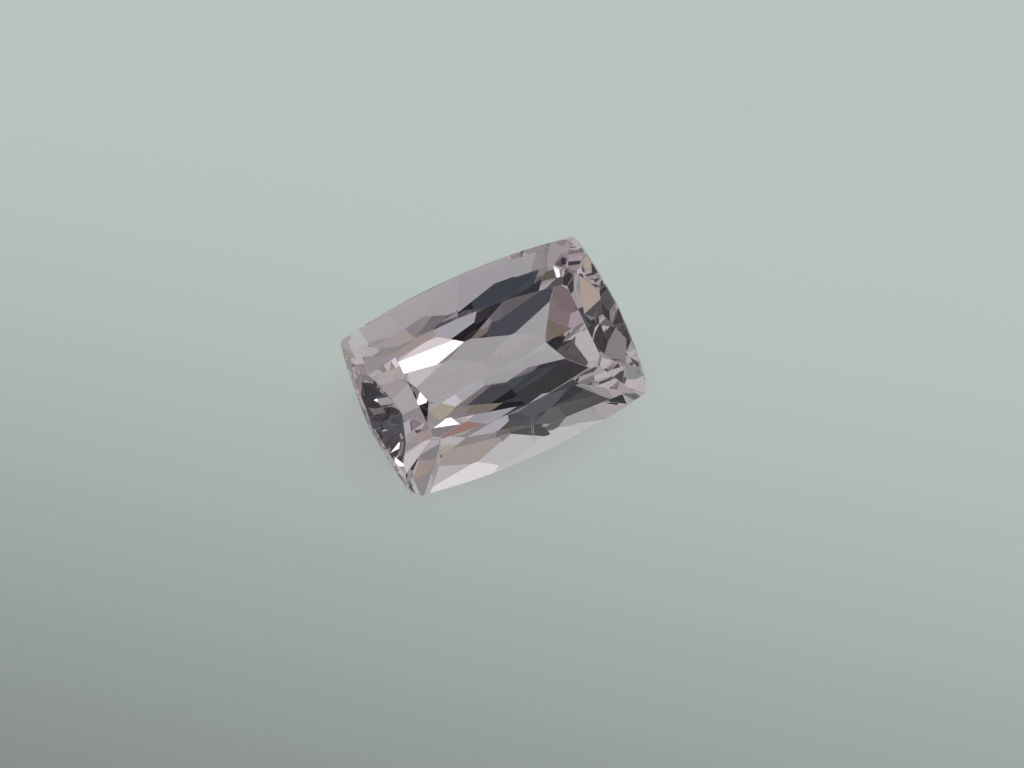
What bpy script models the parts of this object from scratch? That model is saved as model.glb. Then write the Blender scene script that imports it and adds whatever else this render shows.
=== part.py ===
"""A cut kunzite: a pale pink, see-through gemstone in a rectangular cushion cut.

The stone is one solid. It is cut the way a gem cutter cuts it: a block loses everything outside one
flat facet after another. A facet is given by its azimuth, its slope from the girdle plane and a point
that it passes through, and many of those points are where earlier facets meet.

While it is cut, lengths are millimetres, the table faces +Z, the girdle's upper edge is at z = 0 and
the length runs along X. The far long side is +Y and the near one is -Y. The finished stone is then
laid on the near side's broad facet next to the girdle and scaled to metres, with its origin under the
middle of its box.
"""

import math
from collections import namedtuple

import bmesh
import bpy
from mathutils import Matrix, Vector
from mathutils.geometry import intersect_line_plane, intersect_plane_plane

NAME = "kunzite"
METRES_PER_MM = 0.001
BLOCK_SIZE = 24.0
SAME_POINT = 1e-4

# Outline at the girdle: four shallow arcs, each cut as a row of flats.
HALF_LENGTH = 7.60
HALF_WIDTH = 5.375
CORNER_X = 7.12
CORNER_Y = 4.72
LONG_SIDE_FLATS = 9
SHORT_SIDE_FLATS = 7
GIRDLE_THICKNESS = 0.30

# Crown. The table narrows a little towards +X.
CROWN_HEIGHT = 1.79
TABLE_LEFT = -5.05
TABLE_RIGHT = 5.17
# Each main facet of a long side: its azimuth and a point of the table's edge.
FAR_MAINS = ((100.0, (-4.3, 2.78)), (92.5, (-2.3, 2.96)), (86.5, (0.5, 2.92)), (81.0, (3.8, 2.53)))
NEAR_MAINS = ((-96.0, (-3.4, -2.75)), (-88.0, (-0.4, -2.86)), (-84.0, (2.9, -2.65)))
# The ends' main facets would run out this far past the girdle. Steeper breaks take their place there.
END_MAIN_RUNOUT = 0.25
BREAK_SLOPE = 65.0
BREAK_SWINGS = (-10.0, -3.5, 3.5, 10.0)
# Each corner kite: its azimuth, the table's corner and how far it cuts below that corner.
KITES = (
    (48.0, (5.12, 2.31), 0.04),
    (132.0, (-5.10, 2.66), 0.04),
    (-50.0, (5.22, -2.36), 0.10),
    (-130.0, (-4.96, -2.64), 0.10),
)

# Pavilion: its depth and the keel's ends.
PAVILION_DEPTH = 5.30
KEEL_ENDS_X = (-3.74, 3.56)
MEET_OVERCUT = 0.02

# Far long side: slopes and azimuths tier by tier from the keel, and the places where facets meet.
FAR_SLOPES = (28.1, 35.1, 43.2, 47.8, 58.5)
FAR_FIRST_AZIMUTHS = (99.0, 83.0)
FAR_KITE_AZIMUTH = 90.0
FAR_KITE_TOP_Y = 0.73
FAR_PEAKS_X = (-1.93, 2.05)
FAR_SECOND_AZIMUTHS = (101.3, 77.7)
FAR_THIRD_AZIMUTHS = (96.5, 85.5)
FAR_FOURTH_AZIMUTHS = (96.5, 90.0, 85.5)
FAR_FOURTH_X = (-2.03, 2.15)
FAR_FIFTH_AZIMUTHS = (93.5, 86.5)

# Near long side: three shallow facets at the keel, staggered kites, then two broad facets to the girdle.
NEAR_FIRST_SLOPE = 28.2
NEAR_FIRST_AZIMUTHS = (-100.8, -81.0, -64.8)
NEAR_FIRST_JOINTS_X = (-0.49, 1.90)
NEAR_LEFT_SLOPE = 35.0
NEAR_LEFT_AZIMUTH = -107.0
NEAR_SECOND_SLOPE = 41.8
NEAR_SECOND_AZIMUTHS = (-91.5, -81.0)
NEAR_SECOND_TOPS_Y = (-0.47, -0.58)
NEAR_MEET_X = -2.52
NEAR_THIRD_SLOPE = 44.7
NEAR_THIRD_AZIMUTHS = (-93.5, -86.0)
NEAR_THIRD_TOP_Y = -2.3
NEAR_FOURTH_SLOPE = 49.0
NEAR_FOURTH_AZIMUTHS = (-95.0, -85.0)
NEAR_FOURTH_TOPS_Y = (-2.93, -2.93)

# Ends: a pair of facets at the keel, a row of three above it and a steep pair at the girdle.
END_SLOPES = (45.0, 53.6, 54.5, 68.6)
END_PAIR_SWING = 11.0
END_ROW_SWING = 18.7
END_STEEP_SWING = 8.0
END_ROW_X = 5.89
END_ROW_Y = 1.55

# Corners: one facet each, through a point that is mirrored from corner to corner.
CORNER_SLOPE = 49.7
CORNER_LEAN = 0.73
CORNER_POINT = (5.05, 3.33, -2.75)

Facet = namedtuple("Facet", "normal point")


def bearing(azimuth, reach=1.0):
    """The level vector of this length at an azimuth in degrees from +X towards +Y."""
    turn = math.radians(azimuth)
    return Vector((math.cos(turn), math.sin(turn), 0.0)) * reach


def facet(azimuth, slope, point, up=False, overcut=0.0):
    """A facet through a point, or overcut millimetres inside it. It faces down unless up is set."""
    tilt = math.radians(slope)
    rise = math.cos(tilt) if up else -math.cos(tilt)
    normal = bearing(azimuth, math.sin(tilt)) + Vector((0.0, 0.0, rise))
    return Facet(normal, Vector(point) - normal * overcut)


def meet(first, second, third):
    """The point that three facets share."""
    start, along = intersect_plane_plane(first.point, first.normal, second.point, second.normal)
    return intersect_line_plane(start, start + along, third.point, third.normal)


def on_edge(first, second, x=None, y=None):
    """The point at this x or this y on the edge between two facets."""
    if x is not None:
        return meet(first, second, Facet(Vector((1.0, 0.0, 0.0)), Vector((x, 0.0, 0.0))))
    return meet(first, second, Facet(Vector((0.0, 1.0, 0.0)), Vector((0.0, y, 0.0))))


def side_arc(half_chord, middle, end):
    """Radius and centre distance of a side's arc, from its half chord and its reach at middle and end."""
    rise = middle - end
    radius = (half_chord**2 + rise**2) / (2.0 * rise)
    return radius, middle - radius


def girdle_point(azimuth, z=0.0):
    """The point straight out at this azimuth where a wall would just touch the arc of its side."""
    turn = math.radians(azimuth)
    if abs(math.sin(turn)) > abs(math.cos(turn)):
        radius, centre = side_arc(CORNER_X, HALF_WIDTH, CORNER_Y)
        reach = radius + centre * abs(math.sin(turn))
    else:
        radius, centre = side_arc(CORNER_Y, HALF_LENGTH, CORNER_X)
        reach = radius + centre * abs(math.cos(turn))
    return bearing(azimuth, reach) + Vector((0.0, 0.0, z))


def girdle_facets():
    """The upright walls: a row of flats along each side's arc, each at the middle of its share."""
    walls = []
    for square, half_chord, middle, end, flats in (
        (0.0, CORNER_Y, HALF_LENGTH, CORNER_X, SHORT_SIDE_FLATS),
        (90.0, CORNER_X, HALF_WIDTH, CORNER_Y, LONG_SIDE_FLATS),
    ):
        radius, _ = side_arc(half_chord, middle, end)
        spread = math.degrees(math.asin(half_chord / radius))
        for side in (square, square + 180.0):
            for flat in range(flats):
                azimuth = side + spread * ((2.0 * flat + 1.0) / flats - 1.0)
                walls.append(facet(azimuth, 90.0, girdle_point(azimuth), up=True))
    return walls


def crown_main(azimuth, table_point, runout=0.0):
    """A main facet of the crown, from a point of the table's edge down to the girdle, or past it."""
    top = Vector((table_point[0], table_point[1], CROWN_HEIGHT))
    level = bearing(azimuth)
    run = (girdle_point(azimuth) - top).dot(level) + runout
    return facet(azimuth, math.degrees(math.atan2(CROWN_HEIGHT, run)), top, up=True)


def crown_facets():
    """The table, the main facets of the four sides, the breaks at the ends and the corner kites."""
    facets = [facet(0.0, 0.0, (0.0, 0.0, CROWN_HEIGHT), up=True)]
    for azimuth, table_point in FAR_MAINS + NEAR_MAINS:
        facets.append(crown_main(azimuth, table_point))
    for end, table_x in ((0.0, TABLE_RIGHT), (180.0, TABLE_LEFT)):
        facets.append(crown_main(end, (table_x, 0.0), END_MAIN_RUNOUT))
        for swing in BREAK_SWINGS:
            facets.append(facet(end + swing, BREAK_SLOPE, girdle_point(end + swing), up=True))
    for azimuth, (table_x, table_y), below in KITES:
        top = Vector((table_x, table_y, CROWN_HEIGHT))
        corner = Vector((math.copysign(CORNER_X, table_x), math.copysign(CORNER_Y, table_y), 0.0))
        slope = math.degrees(math.atan2(CROWN_HEIGHT, (corner - top).dot(bearing(azimuth))))
        facets.append(facet(azimuth, slope, top, up=True, overcut=below))
    return facets


def far_facets(keel):
    """The far long side of the pavilion, tier by tier from the keel. Returns them and the first two."""
    first, second, third, fourth, fifth = FAR_SLOPES
    left, right = (facet(azimuth, first, keel) for azimuth in FAR_FIRST_AZIMUTHS)
    kite = facet(FAR_KITE_AZIMUTH, second, on_edge(left, right, y=FAR_KITE_TOP_Y))
    left_peak = on_edge(left, kite, x=FAR_PEAKS_X[0])
    right_peak = on_edge(right, kite, x=FAR_PEAKS_X[1])
    third_left = facet(FAR_THIRD_AZIMUTHS[0], third, left_peak, overcut=MEET_OVERCUT)
    third_right = facet(FAR_THIRD_AZIMUTHS[1], third, right_peak, overcut=MEET_OVERCUT)
    top = meet(third_left, third_right, kite)
    middle = facet(FAR_FOURTH_AZIMUTHS[1], fourth, top, overcut=MEET_OVERCUT)
    facets = [left, right, kite, third_left, third_right, middle]
    facets.append(facet(FAR_SECOND_AZIMUTHS[0], second, left_peak))
    facets.append(facet(FAR_SECOND_AZIMUTHS[1], second, right_peak))
    facets.append(facet(FAR_FOURTH_AZIMUTHS[0], fourth, on_edge(third_left, middle, x=FAR_FOURTH_X[0])))
    facets.append(facet(FAR_FOURTH_AZIMUTHS[2], fourth, on_edge(third_right, middle, x=FAR_FOURTH_X[1])))
    for azimuth in FAR_FIFTH_AZIMUTHS:
        facets.append(facet(azimuth, fifth, girdle_point(azimuth, -GIRDLE_THICKNESS)))
    return facets


def near_facets(keel, far_left, far_right):
    """The near long side of the pavilion: the resting facet, then the first tier from the left and on."""
    middle = facet(NEAR_FIRST_AZIMUTHS[1], NEAR_FIRST_SLOPE, keel)
    left_joint = on_edge(middle, far_left, x=NEAR_FIRST_JOINTS_X[0])
    right_joint = on_edge(middle, far_right, x=NEAR_FIRST_JOINTS_X[1])
    left = facet(NEAR_FIRST_AZIMUTHS[0], NEAR_FIRST_SLOPE, left_joint)
    right = facet(NEAR_FIRST_AZIMUTHS[2], NEAR_FIRST_SLOPE, right_joint)
    left_peak = on_edge(left, middle, y=NEAR_SECOND_TOPS_Y[0])
    right_peak = on_edge(middle, right, y=NEAR_SECOND_TOPS_Y[1])
    second_middle = facet(NEAR_SECOND_AZIMUTHS[0], NEAR_SECOND_SLOPE, left_peak)
    second_right = facet(NEAR_SECOND_AZIMUTHS[1], NEAR_SECOND_SLOPE, right_peak)
    left_meet = on_edge(left, second_middle, x=NEAR_MEET_X)
    second_left = facet(NEAR_LEFT_AZIMUTH, NEAR_LEFT_SLOPE, left_meet)
    third_left = facet(NEAR_THIRD_AZIMUTHS[0], NEAR_THIRD_SLOPE, left_meet)
    right_meet = on_edge(second_middle, second_right, y=NEAR_THIRD_TOP_Y)
    third_right = facet(NEAR_THIRD_AZIMUTHS[1], NEAR_THIRD_SLOPE, right_meet)
    resting_top = on_edge(third_left, second_middle, y=NEAR_FOURTH_TOPS_Y[0])
    resting = facet(NEAR_FOURTH_AZIMUTHS[0], NEAR_FOURTH_SLOPE, resting_top)
    fourth_top = on_edge(third_right, second_right, y=NEAR_FOURTH_TOPS_Y[1])
    fourth_right = facet(NEAR_FOURTH_AZIMUTHS[1], NEAR_FOURTH_SLOPE, fourth_top)
    facets = [resting, left, middle, right, second_left, second_middle, second_right]
    facets += [third_left, third_right, fourth_right]
    return facets


def end_facets(square, keel_end):
    """One end of the pavilion: a pair at the keel, a row of three above it and a steep pair on top."""
    first, row_middle, row_side, steep = END_SLOPES
    along = math.copysign(1.0, keel_end.x)
    pair = [facet(square + swing, first, keel_end) for swing in (-END_PAIR_SWING, END_PAIR_SWING)]
    middle = facet(square, row_middle, on_edge(pair[0], pair[1], x=along * END_ROW_X))
    facets = pair + [middle]
    for side, lower in zip((-1.0, 1.0), pair):
        meeting = on_edge(lower, middle, y=side * along * END_ROW_Y)
        facets.append(facet(square + side * END_ROW_SWING, row_side, meeting))
        azimuth = square + side * END_STEEP_SWING
        facets.append(facet(azimuth, steep, girdle_point(azimuth, -GIRDLE_THICKNESS)))
    return facets


def corner_facet(side_x, side_y):
    """The facet between a long side and an end, on the corner that the two signs give."""
    azimuth = math.degrees(math.atan2(side_y, side_x * CORNER_LEAN))
    x, y, z = CORNER_POINT
    return facet(azimuth, CORNER_SLOPE, (side_x * x, side_y * y, z))


def pavilion_facets():
    """Every facet below the girdle, with the one that the stone rests on first."""
    keel = Vector((0.0, 0.0, -GIRDLE_THICKNESS - PAVILION_DEPTH))
    far = far_facets(keel)
    near = near_facets(keel, far[0], far[1])
    facets = near + far
    left_end = on_edge(far[0], near[1], x=KEEL_ENDS_X[0])
    right_end = on_edge(far[1], near[3], x=KEEL_ENDS_X[1])
    facets += end_facets(180.0, left_end) + end_facets(0.0, right_end)
    for side_x in (-1.0, 1.0):
        for side_y in (-1.0, 1.0):
            facets.append(corner_facet(side_x, side_y))
    return facets


def cut(stone, plane):
    """Takes away what lies outside the facet's plane and closes the cut with one flat face."""
    sawn = bmesh.ops.bisect_plane(
        stone,
        geom=stone.verts[:] + stone.edges[:] + stone.faces[:],
        dist=SAME_POINT,
        plane_co=plane.point,
        plane_no=plane.normal,
        clear_outer=True,
    )
    rim = [item for item in sawn["geom_cut"] if isinstance(item, bmesh.types.BMEdge)]
    open_rim = [edge for edge in rim if edge.is_boundary]
    if len(open_rim) > 2:
        bmesh.ops.contextual_create(stone, geom=open_rim)


def crystal_material():
    """Clear polished crystal with a breath of pink."""
    material = bpy.data.materials.new("kunzite_crystal")
    material.use_nodes = True
    shader = material.node_tree.nodes["Principled BSDF"]
    shader.inputs["Base Color"].default_value = (0.96, 0.88, 0.92, 1.0)
    shader.inputs["Roughness"].default_value = 0.0
    shader.inputs["Metallic"].default_value = 0.0
    shader.inputs["IOR"].default_value = 1.667
    shader.inputs["Transmission Weight"].default_value = 1.0
    return material


def main():
    for old in list(bpy.data.objects):
        bpy.data.objects.remove(old)

    pavilion = pavilion_facets()
    stone = bmesh.new()
    bmesh.ops.create_cube(stone, size=BLOCK_SIZE)
    for plane in girdle_facets() + crown_facets() + pavilion:
        cut(stone, plane)
    bmesh.ops.remove_doubles(stone, verts=stone.verts[:], dist=SAME_POINT)
    bmesh.ops.recalc_face_normals(stone, faces=stone.faces[:])

    down = pavilion[0].normal.rotation_difference(Vector((0.0, 0.0, -1.0))).to_matrix().to_4x4()
    bmesh.ops.transform(stone, matrix=Matrix.Scale(METRES_PER_MM, 4) @ down, verts=stone.verts[:])
    low = [min(vert.co[axis] for vert in stone.verts) for axis in range(3)]
    high = [max(vert.co[axis] for vert in stone.verts) for axis in range(3)]
    middle = Vector(((low[0] + high[0]) / 2.0, (low[1] + high[1]) / 2.0, low[2]))
    bmesh.ops.translate(stone, vec=-middle, verts=stone.verts[:])

    mesh = bpy.data.meshes.new(NAME)
    stone.to_mesh(mesh)
    stone.free()
    mesh.materials.append(crystal_material())
    gem = bpy.data.objects.new(NAME, mesh)
    collection = bpy.data.collections.new("cut kunzite")
    bpy.context.scene.collection.children.link(collection)
    collection.objects.link(gem)


main()
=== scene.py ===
"""The finish of a cut kunzite: clear, very pale pink crystal on a pale surface, under soft studio light.

Lengths in the constants are millimetres and angles degrees, unless a name says otherwise. Azimuths run
from +X towards +Y, and elevations up from the floor.
"""

import math
import random

import bmesh
import bpy
from mathutils import Matrix, Vector


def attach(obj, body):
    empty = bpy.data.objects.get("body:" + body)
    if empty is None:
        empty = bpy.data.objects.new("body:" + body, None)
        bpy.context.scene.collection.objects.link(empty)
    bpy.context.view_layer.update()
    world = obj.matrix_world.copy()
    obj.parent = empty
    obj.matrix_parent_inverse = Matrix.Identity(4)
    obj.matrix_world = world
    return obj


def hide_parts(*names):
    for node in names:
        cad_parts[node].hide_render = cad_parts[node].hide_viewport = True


MM = 0.001
NODE = "kunzite"
SLOT = "kunzite_crystal"

# The crystal.
KUNZITE_IOR = 1.667
PINK = (0.90, 0.22, 0.58, 1.0)
PINK_DENSITY = 7.5
FLAT_ENOUGH = 0.3
SAME_POINT = 0.0002
# The clouding of the colour and the polish. Noise scales are per metre, and each pair of levels is the
# stretch of the noise that is spread over its two results.
ZONING_SCALE = 160.0
ZONING_DETAIL = 1.0
CLEAR_ZONE = (1.0, 0.995, 1.0)
PINK_ZONE = (1.0, 0.98, 0.985)
POLISH_SCALE = 900.0
POLISH_DETAIL = 3.0
POLISH_LEVELS = (0.45, 0.75)
POLISH_ROUGHNESS = (0.0, 0.012)
CLOUD_LEVELS = (0.35, 0.65)
CLOUD_DETAIL = 2.0

# Wear: every long facet edge is rubbed to a hair-fine flat, and the girdle has a few small nicks.
WORN_EDGE_LENGTH = 0.45
WORN_EDGE_ANGLE = 5.0
WORN_WIDTHS = (0.010, 0.026)
NICK_COUNT = 14
NICK_DEPTHS = (0.015, 0.045)
NICK_EDGE_ANGLE = 62.0
NICK_LEAN = 0.5
WEAR_SEED = 11
WEAR = "rubbed"
RUBBED_ROUGHNESS = 0.18

# Inclusions, as points inside the stone. A needle is its ends and radius, a speck its middle and radius.
NEEDLES = (
    ((0.27, -3.74, 2.20), (0.11, -3.86, 1.00), 0.022),
    ((0.42, -3.72, 2.40), (0.19, -3.88, 0.80), 0.024),
    ((0.02, -3.80, 1.64), (-0.05, -3.85, 1.12), 0.010),
)
FEATHER = (
    ((5.92, -1.29, 5.53), (5.61, -2.03, 4.98), 0.015),
    ((6.12, -1.08, 5.59), (5.91, -1.55, 5.25), 0.012),
)
NEEDLE_TIP = 0.2
NEEDLE_SIDES = 6
SPECKS = (((7.00, -3.30, 2.18), 0.04), ((0.09, -1.62, 5.44), 0.025), ((-7.18, 1.82, 6.60), 0.022))
SPECK_LUMPS = (0.7, 1.3)
SPECK_SEED = 5
CRACK = (
    (-6.94, -2.80, 0.96),
    (-6.89, -2.96, 0.76),
    (-6.91, -2.98, 0.56),
    (-6.84, -3.13, 0.38),
    (-6.80, -3.16, 0.20),
)
CRACK_WIDTH = 0.10
CRACK_THICKNESS = 0.03
CRACK_TIP = 0.25
CRACK_SPREAD = (0.7, 1.2)
CRACK_SLANT = (-0.4, 0.4)
CRACK_SEED = 3
# Each inclusion's two colours, its roughness and the scale of its clouding.
STRAW = (((0.96, 0.91, 0.80), (0.84, 0.77, 0.66)), 0.35, 1500.0)
SILVER = (((0.80, 0.84, 0.88), (0.55, 0.58, 0.62)), 0.25, 2500.0)
DARK = (((0.03, 0.02, 0.02), (0.10, 0.06, 0.04)), 0.5, 3000.0)

# The camera looks down on the table, with a long lens as for a close-up.
VIEW_AZIMUTH = 253.1
VIEW_ELEVATION = 33.4
VIEW_ROLL = 12.7
VIEW_DISTANCE = 310.0
LENS = 200.0
NEAREST_SEEN = 10.0
STONE_MIDDLE = (-0.02, -0.51, 4.17)
FRAME_SHIFT = (0.93, -0.98)

# The floor: a pale card with painted light in its own glow, dimmer towards the viewer as a painted
# fall-off, and a painted shadow under the stone. A hair of air stays under the stone.
FLOOR_SIZE = 900.0
FLOOR_GAP = 0.02
FLOOR_COLOUR = (0.12, 0.125, 0.12)
FLOOR_ROUGHNESS = 0.9
FLOOR_SHINE = 0.1
# Painted light: the card's own glow, which stands in for the light falling on it.
PAINTED_FLOOR_GLOW = (0.455, 0.515, 0.485, 1.0)
# Painted shadow: the glow's colour on the card under the stone, and where that patch lies.
PAINTED_SHADOW_GLOW = (0.40, 0.40, 0.415, 1.0)
PAINTED_SHADOW_MIDDLE = (0.0, 3.0, 0.0)
PAINTED_SHADOW_REACH = (4.0, 11.0)
# Painted fall-off of light: the glow dims along this azimuth, towards the viewer.
PAINTED_FALLOFF_AZIMUTH = 214.0
PAINTED_FALLOFF_REACH = (-20.0, 60.0)
PAINTED_FALLOFF = (1.0, 0.32)

# The light tent: its walls from the floor up, then the soft lights and dark cards in it.
WALL_LOW = (0.38, 0.37, 0.37)
WALL_HIGH = (0.17, 0.17, 0.17)
# name, azimuth, elevation, half width, softness of its edge, colour, strength
TENT = (
    ("dark behind the lens", 250.0, 37.0, 34.0, 12.0, (0.95, 1.0, 1.15), 0.015),
    ("blue sheen", 251.0, 46.0, 12.0, 8.0, (0.85, 1.0, 1.25), 0.06),
    ("dark card behind the stone", 127.0, 37.0, 21.0, 6.0, (0.85, 1.0, 1.3), 0.05),
    ("dark card overhead", 45.0, 66.0, 15.0, 6.0, (1.0, 1.0, 1.0), 0.06),
    ("dark gap at the left", 147.0, 15.0, 9.0, 5.0, (1.0, 0.95, 1.0), 0.06),
    ("grey panel", 97.0, 54.0, 7.0, 5.0, (1.0, 1.0, 1.0), 0.38),
    ("window", 72.0, 39.0, 15.0, 3.0, (0.98, 1.0, 1.0), 0.54),
    ("window's bright half", 61.0, 35.0, 5.5, 3.0, (1.0, 1.0, 1.0), 0.75),
    ("brown card", 281.5, 41.0, 3.0, 1.5, (1.15, 1.0, 0.78), 0.17),
    ("blue card", 284.0, 53.0, 4.0, 3.0, (0.95, 1.0, 1.1), 0.05),
    ("grey card", 298.0, 55.0, 4.5, 2.0, (0.95, 1.0, 1.05), 0.42),
    ("flash by the lens", 275.3, 60.7, 1.6, 0.6, (1.0, 1.0, 0.95), 2.0),
    ("salmon card", 301.0, 26.0, 4.5, 2.0, (1.5, 0.97, 0.85), 0.21),
    ("tan card", 322.0, 39.0, 5.5, 2.0, (1.05, 1.0, 0.74), 0.38),
    ("umber card", 328.0, 29.0, 3.5, 2.0, (1.15, 1.0, 0.88), 0.3),
    ("right strip", 331.0, 13.0, 4.5, 3.0, (1.0, 1.0, 0.98), 0.6),
    ("warm card", 312.0, 47.0, 4.5, 1.5, (1.1, 1.0, 0.92), 0.34),
    ("white lamp", 305.0, 36.5, 3.6, 1.0, (0.98, 1.0, 1.0), 1.6),
    ("upper lamp", 306.0, 48.0, 2.2, 0.8, (1.0, 1.0, 0.98), 1.5),
    ("high side light", 326.0, 61.0, 6.0, 3.0, (1.05, 1.0, 1.0), 0.22),
    ("high right light", 357.0, 52.0, 9.0, 4.0, (1.0, 1.0, 0.99), 0.5),
    ("right wall card", 336.0, 23.0, 4.5, 3.0, (1.05, 1.0, 0.97), 0.42),
    ("low right shade", 351.0, 3.0, 9.0, 4.0, (1.1, 1.0, 0.95), 0.2),
    ("cream card", 277.0, 10.0, 6.0, 3.0, (1.12, 1.0, 0.8), 0.37),
    ("high left light", 172.0, 56.0, 12.0, 5.0, (1.1, 1.0, 0.8), 0.42),
    ("low front light", 222.0, 5.0, 13.0, 6.0, (1.0, 1.0, 0.95), 0.5),
    ("right wall light", 25.0, 20.0, 17.0, 8.0, (1.0, 1.0, 0.98), 0.45),
)

# How many times light is followed through the stone, and off the pale floor.
STONE_BOUNCES = 24
DIFFUSE_BOUNCES = 4


def direction(azimuth, elevation):
    """The unit vector towards an azimuth and elevation."""
    turn, rise = math.radians(azimuth), math.radians(elevation)
    return Vector((math.cos(turn) * math.cos(rise), math.sin(turn) * math.cos(rise), math.sin(rise)))


def new_material(name):
    """A material with its Principled BSDF and its output."""
    material = bpy.data.materials.new(name)
    material.use_nodes = True
    nodes = material.node_tree.nodes
    return material, nodes, material.node_tree.links, nodes["Principled BSDF"], nodes["Material Output"]


def value_noise(nodes, links, scale, detail, levels, results=(0.0, 1.0)):
    """Noise in the object's own space, spread from two of its levels to two results."""
    place = nodes.new("ShaderNodeTexCoord")
    noise = nodes.new("ShaderNodeTexNoise")
    noise.inputs["Scale"].default_value = scale
    noise.inputs["Detail"].default_value = detail
    links.new(place.outputs["Object"], noise.inputs["Vector"])
    spread = nodes.new("ShaderNodeMapRange")
    spread.inputs["From Min"].default_value = levels[0]
    spread.inputs["From Max"].default_value = levels[1]
    spread.inputs["To Min"].default_value = results[0]
    spread.inputs["To Max"].default_value = results[1]
    links.new(noise.outputs["Fac"], spread.inputs["Value"])
    return spread.outputs["Result"]


def crystal_material():
    """Clear crystal with a breath of pink: mirror polish on the facets, satin where edges are rubbed."""
    material, nodes, links, shader, output = new_material(SLOT)
    shader.inputs["Metallic"].default_value = 0.0
    shader.inputs["IOR"].default_value = KUNZITE_IOR
    shader.inputs["Transmission Weight"].default_value = 1.0

    zoning = nodes.new("ShaderNodeMix")
    zoning.data_type = "RGBA"
    zoning.inputs["A"].default_value = (*CLEAR_ZONE, 1.0)
    zoning.inputs["B"].default_value = (*PINK_ZONE, 1.0)
    zones = value_noise(nodes, links, ZONING_SCALE, ZONING_DETAIL, CLOUD_LEVELS)
    links.new(zones, zoning.inputs["Factor"])
    links.new(zoning.outputs["Result"], shader.inputs["Base Color"])

    worn = nodes.new("ShaderNodeAttribute")
    worn.attribute_name = WEAR
    finish = nodes.new("ShaderNodeMix")
    links.new(worn.outputs["Fac"], finish.inputs["Factor"])
    polish = value_noise(nodes, links, POLISH_SCALE, POLISH_DETAIL, POLISH_LEVELS, POLISH_ROUGHNESS)
    links.new(polish, finish.inputs["A"])
    finish.inputs["B"].default_value = RUBBED_ROUGHNESS
    links.new(finish.outputs["Result"], shader.inputs["Roughness"])

    body = nodes.new("ShaderNodeVolumeAbsorption")
    body.inputs["Color"].default_value = PINK
    body.inputs["Density"].default_value = PINK_DENSITY
    links.new(body.outputs["Volume"], output.inputs["Volume"])
    return material


def shave(stone, point, normal, rubbed):
    """Takes a flat off the stone at this plane, and marks the new face as rubbed."""
    sawn = bmesh.ops.bisect_plane(
        stone,
        geom=stone.verts[:] + stone.edges[:] + stone.faces[:],
        dist=SAME_POINT * MM,
        plane_co=point,
        plane_no=normal,
        clear_outer=True,
    )
    rim = [item for item in sawn["geom_cut"] if isinstance(item, bmesh.types.BMEdge) and item.is_boundary]
    if len(rim) > 2:
        for face in bmesh.ops.contextual_create(stone, geom=rim)["faces"]:
            face[rubbed] = 1.0


def worn_flats(stone, chance):
    """The plane of each hair-fine flat: one for every facet edge that is long and sharp enough."""
    flats = []
    for edge in stone.edges:
        turn = edge.calc_face_angle(0.0)
        if edge.calc_length() < WORN_EDGE_LENGTH * MM or turn < math.radians(WORN_EDGE_ANGLE):
            continue
        width = chance.uniform(*WORN_WIDTHS) * MM
        normal = (edge.link_faces[0].normal + edge.link_faces[1].normal).normalized()
        middle = (edge.verts[0].co + edge.verts[1].co) / 2.0
        flats.append((middle - normal * (width / 2.0 * math.tan(turn / 2.0)), normal))
    return flats


def nicks(stone, chance):
    """Small flats struck off the stone's sharpest edges, which are the girdle's."""
    sharp = [edge for edge in stone.edges if edge.calc_face_angle(0.0) > math.radians(NICK_EDGE_ANGLE)]
    sharp.sort(key=lambda edge: tuple(edge.verts[0].co) + tuple(edge.verts[1].co))
    flats = []
    for edge in chance.sample(sharp, min(NICK_COUNT, len(sharp))):
        normal = (edge.link_faces[0].normal + edge.link_faces[1].normal).normalized()
        along = (edge.verts[1].co - edge.verts[0].co).normalized()
        lean = (normal + along * chance.uniform(-NICK_LEAN, NICK_LEAN)).normalized()
        corner = max((vert.co for vert in stone.verts), key=lean.dot)
        flats.append((corner - lean * chance.uniform(*NICK_DEPTHS) * MM, lean))
    return flats


def polished_stone(frame):
    """The whole stone: the solid's facets, each one flat face, with rubbed edges and nicks."""
    mesh = frame["nodes"][NODE].data.copy()
    mesh.name = "polished_stone"
    stone = bmesh.new()
    stone.from_mesh(mesh)
    rubbed = stone.faces.layers.float.new(WEAR)
    bmesh.ops.remove_doubles(stone, verts=stone.verts[:], dist=SAME_POINT * MM)
    bmesh.ops.dissolve_limit(
        stone, angle_limit=math.radians(FLAT_ENOUGH), verts=stone.verts[:], edges=stone.edges[:]
    )
    stone.normal_update()
    chance = random.Random(WEAR_SEED)
    for point, normal in worn_flats(stone, chance) + nicks(stone, chance):
        shave(stone, point, normal, rubbed)
    stone.to_mesh(mesh)
    stone.free()
    mesh.materials.clear()
    mesh.materials.append(crystal_material())
    mesh.shade_flat()
    piece = bpy.data.objects.new("polished_stone", mesh)
    bpy.context.scene.collection.objects.link(piece)
    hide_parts(NODE)
    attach(piece, "root")


def inclusion_material(name, colours, roughness, scale):
    """What shows inside the crystal: two colours clouded into each other."""
    material, nodes, links, shader, _ = new_material(name)
    clouded = nodes.new("ShaderNodeMix")
    clouded.data_type = "RGBA"
    clouded.inputs["A"].default_value = (*colours[0], 1.0)
    clouded.inputs["B"].default_value = (*colours[1], 1.0)
    links.new(value_noise(nodes, links, scale, CLOUD_DETAIL, CLOUD_LEVELS), clouded.inputs["Factor"])
    links.new(clouded.outputs["Result"], shader.inputs["Base Color"])
    shader.inputs["Roughness"].default_value = roughness
    return material


def inclusion(name, shape, material):
    """A piece inside the stone, from a mesh in progress."""
    mesh = bpy.data.meshes.new(name)
    shape.to_mesh(mesh)
    shape.free()
    mesh.materials.append(material)
    piece = bpy.data.objects.new(name, mesh)
    bpy.context.scene.collection.objects.link(piece)
    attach(piece, "root")


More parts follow.
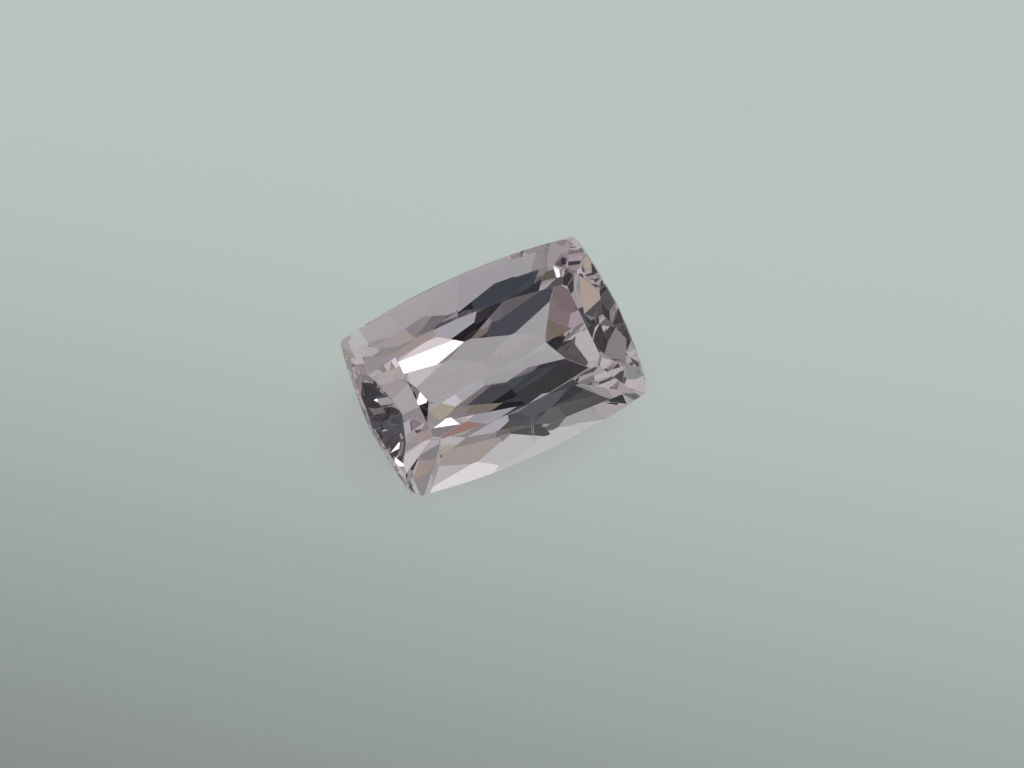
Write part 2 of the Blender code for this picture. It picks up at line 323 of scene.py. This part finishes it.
def streaks(name, lines, material):
    """Straight hair-fine needles, thickest in the middle and drawn out to both ends."""
    shape = bmesh.new()
    for start, end, radius in lines:
        start, end = Vector(start) * MM, Vector(end) * MM
        turn = (end - start).to_track_quat("Z", "Y").to_matrix().to_4x4()
        for half, wide, thin in ((0.25, NEEDLE_TIP, 1.0), (0.75, 1.0, NEEDLE_TIP)):
            bmesh.ops.create_cone(
                shape,
                cap_ends=True,
                segments=NEEDLE_SIDES,
                radius1=radius * wide * MM,
                radius2=radius * thin * MM,
                depth=(end - start).length / 2.0,
                matrix=Matrix.Translation(start.lerp(end, half)) @ turn,
            )
    inclusion(name, shape, material)


def specks(material):
    """Tiny dark grains, each an uneven lump."""
    shape = bmesh.new()
    chance = random.Random(SPECK_SEED)
    for middle, radius in SPECKS:
        grain = bmesh.ops.create_icosphere(
            shape, subdivisions=2, radius=radius * MM, matrix=Matrix.Translation(Vector(middle) * MM)
        )
        for vert in grain["verts"]:
            away = vert.co - Vector(middle) * MM
            vert.co = Vector(middle) * MM + away * chance.uniform(*SPECK_LUMPS)
    inclusion("specks", shape, material)


def corner_crack(material):
    """A dark jagged crack just under the surface at one corner, as a thin closed blade."""
    shape = bmesh.new()
    chance = random.Random(CRACK_SEED)
    rings = []
    for step, place in enumerate(CRACK):
        half = CRACK_WIDTH / 2.0 * (1.0 if 0 < step < len(CRACK) - 1 else CRACK_TIP)
        across = Vector((half * chance.uniform(*CRACK_SPREAD), half * chance.uniform(*CRACK_SLANT), 0.0))
        deep = Vector((0.0, CRACK_THICKNESS, 0.0))
        corners = (across, across + deep, deep - across, -across)
        rings.append([shape.verts.new((Vector(place) + corner) * MM) for corner in corners])
    for upper, lower in zip(rings, rings[1:]):
        for side in range(len(upper)):
            after = (side + 1) % len(upper)
            shape.faces.new((upper[side], upper[after], lower[after], lower[side]))
    shape.faces.new(rings[0])
    shape.faces.new(rings[-1])
    bmesh.ops.recalc_face_normals(shape, faces=shape.faces[:])
    inclusion("corner_crack", shape, material)


def floor_material():
    """Pale card with painted light in its own glow, a painted fall-off towards the viewer and a painted
    shadow under the stone.
    """
    material, nodes, links, shader, _ = new_material("pale_card")
    shader.inputs["Base Color"].default_value = (*FLOOR_COLOUR, 1.0)
    shader.inputs["Roughness"].default_value = FLOOR_ROUGHNESS
    shader.inputs["Specular IOR Level"].default_value = FLOOR_SHINE
    place = nodes.new("ShaderNodeTexCoord")
    # Painted shadow: the glow is dimmed and cooled near this middle, under the stone.
    apart = nodes.new("ShaderNodeVectorMath")
    apart.operation = "DISTANCE"
    apart.inputs[1].default_value = Vector(PAINTED_SHADOW_MIDDLE) * MM
    links.new(place.outputs["Object"], apart.inputs[0])
    shade = nodes.new("ShaderNodeMapRange")
    shade.interpolation_type = "SMOOTHSTEP"
    shade.inputs["From Min"].default_value = PAINTED_SHADOW_REACH[0] * MM
    shade.inputs["From Max"].default_value = PAINTED_SHADOW_REACH[1] * MM
    links.new(apart.outputs["Value"], shade.inputs["Value"])
    glow = nodes.new("ShaderNodeMix")
    glow.data_type = "RGBA"
    glow.inputs["A"].default_value = PAINTED_SHADOW_GLOW
    glow.inputs["B"].default_value = PAINTED_FLOOR_GLOW
    links.new(shade.outputs["Result"], glow.inputs["Factor"])
    links.new(glow.outputs["Result"], shader.inputs["Emission Color"])
    # Painted fall-off of light: the glow's strength drops towards the viewer.
    towards = nodes.new("ShaderNodeVectorMath")
    towards.operation = "DOT_PRODUCT"
    towards.inputs[1].default_value = direction(PAINTED_FALLOFF_AZIMUTH, 0.0)
    links.new(place.outputs["Object"], towards.inputs[0])
    fall = nodes.new("ShaderNodeMapRange")
    fall.interpolation_type = "SMOOTHSTEP"
    fall.inputs["From Min"].default_value = PAINTED_FALLOFF_REACH[0] * MM
    fall.inputs["From Max"].default_value = PAINTED_FALLOFF_REACH[1] * MM
    fall.inputs["To Min"].default_value = PAINTED_FALLOFF[0]
    fall.inputs["To Max"].default_value = PAINTED_FALLOFF[1]
    links.new(towards.outputs["Value"], fall.inputs["Value"])
    links.new(fall.outputs["Result"], shader.inputs["Emission Strength"])
    return material


def floor():
    """The pale surface that the stone lies on."""
    mesh = bpy.data.meshes.new("floor")
    card = bmesh.new()
    bmesh.ops.create_grid(card, x_segments=1, y_segments=1, size=FLOOR_SIZE / 2.0 * MM)
    card.to_mesh(mesh)
    card.free()
    mesh.materials.append(floor_material())
    piece = bpy.data.objects.new("floor", mesh)
    piece.location.z = -FLOOR_GAP * MM
    bpy.context.scene.collection.objects.link(piece)


def tent():
    """The world: grey walls, with each light or dark card as a soft-edged disc."""
    world = bpy.data.worlds.new("light tent")
    world.use_nodes = True
    bpy.context.scene.world = world
    nodes, links = world.node_tree.nodes, world.node_tree.links
    background = nodes["Background"]
    place = nodes.new("ShaderNodeTexCoord")
    parts = nodes.new("ShaderNodeSeparateXYZ")
    links.new(place.outputs["Generated"], parts.inputs["Vector"])
    rise = nodes.new("ShaderNodeMapRange")
    links.new(parts.outputs["Z"], rise.inputs["Value"])
    walls = nodes.new("ShaderNodeMix")
    walls.data_type = "RGBA"
    walls.inputs["A"].default_value = (*WALL_LOW, 1.0)
    walls.inputs["B"].default_value = (*WALL_HIGH, 1.0)
    links.new(rise.outputs["Result"], walls.inputs["Factor"])
    colour = walls.outputs["Result"]
    for name, azimuth, elevation, half_width, softness, tint, strength in TENT:
        towards = nodes.new("ShaderNodeVectorMath")
        towards.operation = "DOT_PRODUCT"
        towards.inputs[1].default_value = direction(azimuth, elevation)
        links.new(place.outputs["Generated"], towards.inputs[0])
        edge = nodes.new("ShaderNodeMapRange")
        edge.interpolation_type = "SMOOTHSTEP"
        edge.inputs["From Min"].default_value = math.cos(math.radians(half_width + softness / 2.0))
        edge.inputs["From Max"].default_value = math.cos(math.radians(half_width - softness / 2.0))
        links.new(towards.outputs["Value"], edge.inputs["Value"])
        layer = nodes.new("ShaderNodeMix")
        layer.label = name
        layer.data_type = "RGBA"
        links.new(edge.outputs["Result"], layer.inputs["Factor"])
        links.new(colour, layer.inputs["A"])
        layer.inputs["B"].default_value = (*(strength * part for part in tint), 1.0)
        colour = layer.outputs["Result"]
    links.new(colour, background.inputs["Color"])


def camera():
    """The camera, turned about its own axis as the stone is turned in the picture."""
    back = direction(VIEW_AZIMUTH, VIEW_ELEVATION)
    level = Vector((0.0, 0.0, 1.0)).cross(back).normalized()
    roll = Matrix.Rotation(math.radians(-VIEW_ROLL), 3, back)
    right = roll @ level
    up = back.cross(right)
    target = Vector(STONE_MIDDLE) + right * FRAME_SHIFT[0] + up * FRAME_SHIFT[1]
    lens = bpy.data.cameras.new("camera")
    lens.lens = LENS
    lens.clip_start = NEAREST_SEEN * MM
    eye = bpy.data.objects.new("camera", lens)
    turn = Matrix((right, up, back)).transposed().to_4x4()
    eye.matrix_world = Matrix.Translation((target + back * VIEW_DISTANCE) * MM) @ turn
    bpy.context.scene.collection.objects.link(eye)
    bpy.context.scene.camera = eye


def light_paths():
    """Light is followed through many reflections inside the stone."""
    cycles = bpy.context.scene.cycles
    cycles.use_adaptive_sampling = False
    cycles.max_bounces = STONE_BOUNCES
    cycles.glossy_bounces = STONE_BOUNCES
    cycles.transmission_bounces = STONE_BOUNCES
    cycles.diffuse_bounces = DIFFUSE_BOUNCES
    cycles.caustics_reflective = True
    cycles.caustics_refractive = True
    cycles.blur_glossy = 0.0
    cycles.sample_clamp_indirect = 0.0
    bpy.context.scene.view_settings.view_transform = "Standard"


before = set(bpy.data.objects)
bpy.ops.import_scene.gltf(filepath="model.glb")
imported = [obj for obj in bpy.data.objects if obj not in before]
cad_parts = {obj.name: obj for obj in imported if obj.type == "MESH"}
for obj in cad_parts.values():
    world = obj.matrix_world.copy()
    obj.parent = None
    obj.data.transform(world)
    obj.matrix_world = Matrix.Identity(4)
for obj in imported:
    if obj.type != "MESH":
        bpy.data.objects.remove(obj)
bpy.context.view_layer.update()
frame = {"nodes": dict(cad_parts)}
polished_stone(frame)
streaks("needles", NEEDLES, inclusion_material("straw_needle", *STRAW))
streaks("feather", FEATHER, inclusion_material("silver_feather", *SILVER))
dark = inclusion_material("dark_grain", *DARK)
specks(dark)
corner_crack(dark)
floor()
tent()
camera()
light_paths()
